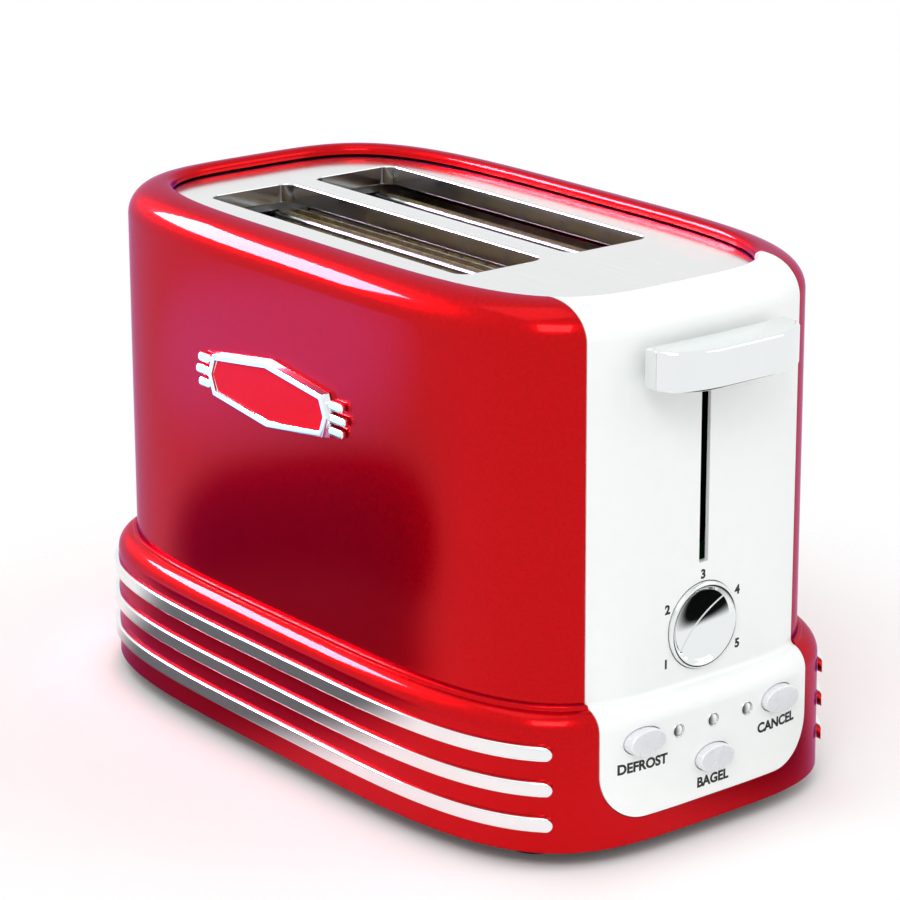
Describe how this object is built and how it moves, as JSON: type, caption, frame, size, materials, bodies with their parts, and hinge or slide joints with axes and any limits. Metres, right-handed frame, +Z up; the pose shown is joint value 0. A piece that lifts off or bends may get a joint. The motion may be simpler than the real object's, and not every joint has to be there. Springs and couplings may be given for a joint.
{
  "type": "two-slice toaster",
  "caption": "Retro two-slice toaster with a rolled-rim body on a banded base, a press-down lever, a browning knob, push buttons and a slide-out crumb tray.",
  "frame": {"origin": "on the floor under the middle of the overall outline, at the bottom of the feet", "axes": "+Z up, -Y towards the control end with the lever and knob, +Y towards the cord and crumb tray, +X to the right seen from the control end"},
  "size_m": [0.1656, 0.2928, 0.1885],
  "materials": {
    "red_enamel": "high-gloss metallic red clear coat",
    "red_base": "high-gloss metallic red clear coat to match the body",
    "panel_plastic": "pearl off-white, glossy",
    "polished_steel": "mirror polished",
    "chrome_trim": "bright plated",
    "chrome_parts": "bright plated",
    "badge_inlay": "glossy red inlay",
    "button_plastic": "silvery white, satin gloss",
    "clear_lens": "clear moulded lens",
    "foot_rubber": "matte black",
    "plated_steel": "zinc plated",
    "reflector_sheet": "bright sheet",
    "black_plastic": "fine textured",
    "dark_iron": "plain",
    "mica": "flaky sheet",
    "heater_alloy": "oxidised ribbon",
    "copper_winding": "enamelled wire",
    "circuit_board": "solder mask",
    "led_plastic": "translucent"
  },
  "bodies": {
    "chassis": {"body_shell": "red_enamel", "rear_panel": "red_enamel", "base_skirt": "red_base", "front_panel": "panel_plastic", "top_plate": "polished_steel", "trim_band_lower": "chrome_trim", "trim_band_middle": "chrome_trim", "trim_band_upper": "chrome_trim", "badge_frame": "chrome_parts", "badge_plate": "badge_inlay", "lens_left": "clear_lens", "lens_middle": "clear_lens", "lens_right": "clear_lens", "foot_front_left": "foot_rubber", "foot_front_right": "foot_rubber", "foot_rear_left": "foot_rubber", "foot_rear_right": "foot_rubber", "foot_screws": "plated_steel", "bottom_plate": "black_plastic", "tray_rail_left": "plated_steel", "tray_rail_right": "plated_steel", "cord_gland": "black_plastic", "front_chassis_plate": "plated_steel", "rear_chassis_plate": "plated_steel", "reflector_left": "reflector_sheet", "reflector_right": "reflector_sheet", "heater_board_left_outer": "mica", "heater_board_left_inner": "mica", "heater_board_right_inner": "mica", "heater_board_right_outer": "mica", "heater_ribbon_left_outer": "heater_alloy", "heater_ribbon_left_inner": "heater_alloy", "heater_ribbon_right_inner": "heater_alloy", "heater_ribbon_right_outer": "heater_alloy", "guide_rod": "plated_steel", "lift_spring": "plated_steel", "magnet_core": "plated_steel", "magnet_coil": "copper_winding", "control_board": "circuit_board", "board_bracket": "plated_steel", "browning_control": "black_plastic", "button_switches": "black_plastic", "indicator_leds": "led_plastic"},
    "carriage": {"lever_handle": "chrome_parts", "lever_arm": "plated_steel", "carriage_bracket": "plated_steel", "armature": "dark_iron", "bread_rack_left": "plated_steel", "bread_rack_right": "plated_steel"},
    "knob": {"browning_knob": "chrome_parts", "knob_shaft": "plated_steel"},
    "defrost": {"defrost_button": "button_plastic"},
    "bagel": {"bagel_button": "button_plastic"},
    "cancel": {"cancel_button": "button_plastic"},
    "tray": {"crumb_tray": "plated_steel", "tray_pull": "black_plastic"},
    "guard_left_outer": {"bread_guard_left_outer": "plated_steel"},
    "guard_left_inner": {"bread_guard_left_inner": "plated_steel"},
    "guard_right_inner": {"bread_guard_right_inner": "plated_steel"},
    "guard_right_outer": {"bread_guard_right_outer": "plated_steel"}
  },
  "joints": [
    {"name": "lever_slide", "type": "slide", "parent": "chassis", "child": "carriage", "axis": [0, 0, -1], "range_m": [0, 0.066], "stiffness_N_per_m": 45, "springref_m": -0.1, "deforming": ["lift_spring"]},
    {"name": "guard_left_outer_slide", "type": "slide", "parent": "chassis", "child": "guard_left_outer", "axis": [1, 0, 0], "range_m": [0, 0.006]},
    {"name": "guard_left_inner_slide", "type": "slide", "parent": "chassis", "child": "guard_left_inner", "axis": [-1, 0, 0], "range_m": [0, 0.006]},
    {"name": "guard_right_inner_slide", "type": "slide", "parent": "chassis", "child": "guard_right_inner", "axis": [1, 0, 0], "range_m": [0, 0.006]},
    {"name": "guard_right_outer_slide", "type": "slide", "parent": "chassis", "child": "guard_right_outer", "axis": [-1, 0, 0], "range_m": [0, 0.006]},
    {"name": "knob_turn", "type": "hinge", "parent": "chassis", "child": "knob", "pos_m": [0, -0.12694, 0.0737], "axis": [0, 1, 0], "range_deg": [-170, 70]},
    {"name": "defrost_press", "type": "slide", "parent": "chassis", "child": "defrost", "axis": [0, 1, 0], "range_m": [0, 0.0025], "stiffness_N_per_m": 400, "springref_m": -0.003},
    {"name": "bagel_press", "type": "slide", "parent": "chassis", "child": "bagel", "axis": [0, 1, 0], "range_m": [0, 0.0025], "stiffness_N_per_m": 400, "springref_m": -0.003},
    {"name": "cancel_press", "type": "slide", "parent": "chassis", "child": "cancel", "axis": [0, 1, 0], "range_m": [0, 0.0025], "stiffness_N_per_m": 400, "springref_m": -0.003},
    {"name": "crumb_tray_slide", "type": "slide", "parent": "chassis", "child": "tray", "axis": [0, 1, 0], "range_m": [0, 0.18]}
  ],
  "couplings": [
    {"joint": "guard_left_outer_slide", "follows": "lever_slide", "ratio": 0.0909},
    {"joint": "guard_left_inner_slide", "follows": "lever_slide", "ratio": 0.0909},
    {"joint": "guard_right_inner_slide", "follows": "lever_slide", "ratio": 0.0909},
    {"joint": "guard_right_outer_slide", "follows": "lever_slide", "ratio": 0.0909}
  ]
}
